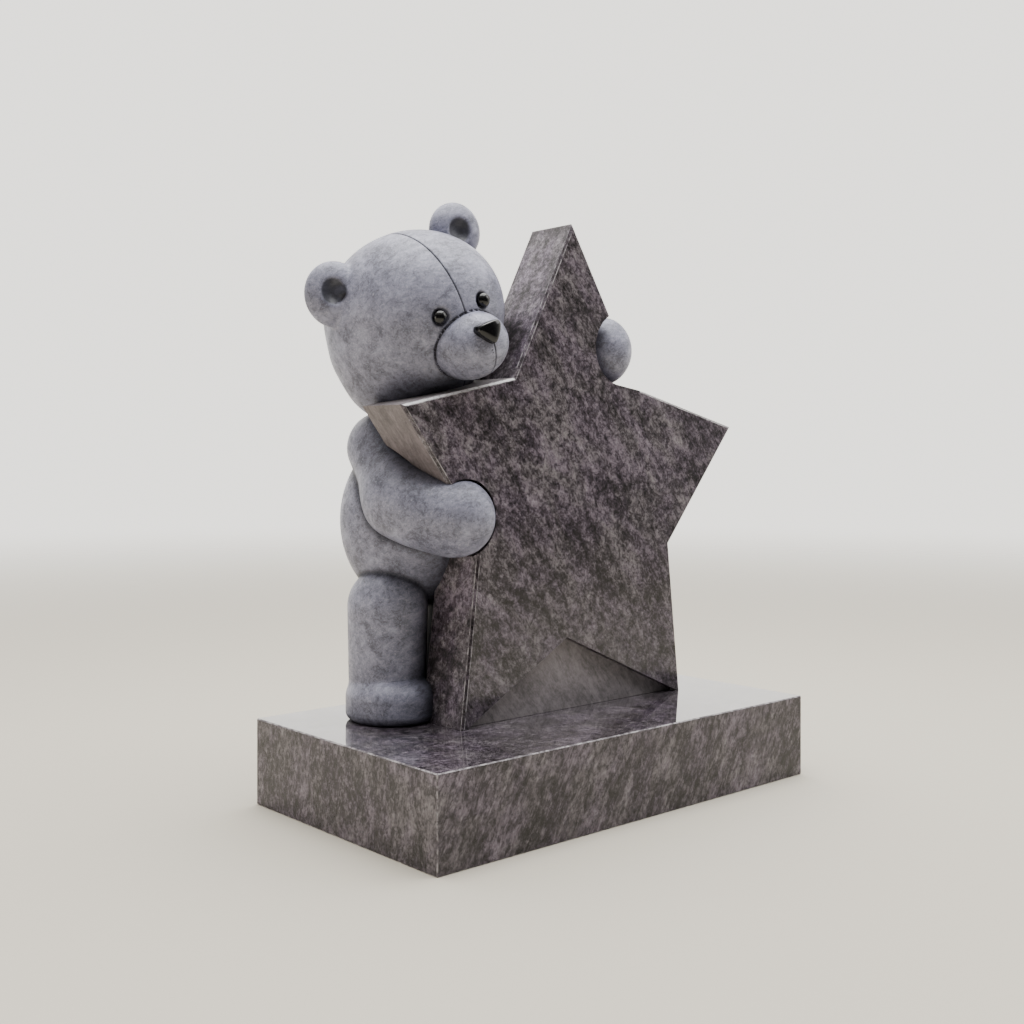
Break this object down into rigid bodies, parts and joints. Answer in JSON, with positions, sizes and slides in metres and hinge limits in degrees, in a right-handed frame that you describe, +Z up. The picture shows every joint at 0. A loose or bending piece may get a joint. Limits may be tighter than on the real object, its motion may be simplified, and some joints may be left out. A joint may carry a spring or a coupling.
{
  "type": "teddy bear headstone",
  "caption": "Children's memorial headstone: a teddy bear hugs an upright star slab from behind, on a flat rectangular plinth.",
  "frame": {"origin": "centre of the plinth's underside, where the headstone stands on its foundation", "axes": "+Z up; -Y is the way the star's face and the bear's face look; +X is to the right of someone who stands in front, and the bear is on the -X side"},
  "size_m": [0.6209, 0.346, 0.7225],
  "materials": {
    "polished_granite": "polished dark grey granite with pale and near-black mottling",
    "part_polished_granite": "the same granite carved in one piece: polished on the star, honed light grey on the bear",
    "polished_black_inlay": "high-gloss black stone"
  },
  "bodies": {
    "root": {"plinth": "polished_granite", "bear_and_star": "part_polished_granite", "eye_right": "polished_black_inlay", "eye_left": "polished_black_inlay", "nose": "polished_black_inlay"}
  },
  "joints": []
}
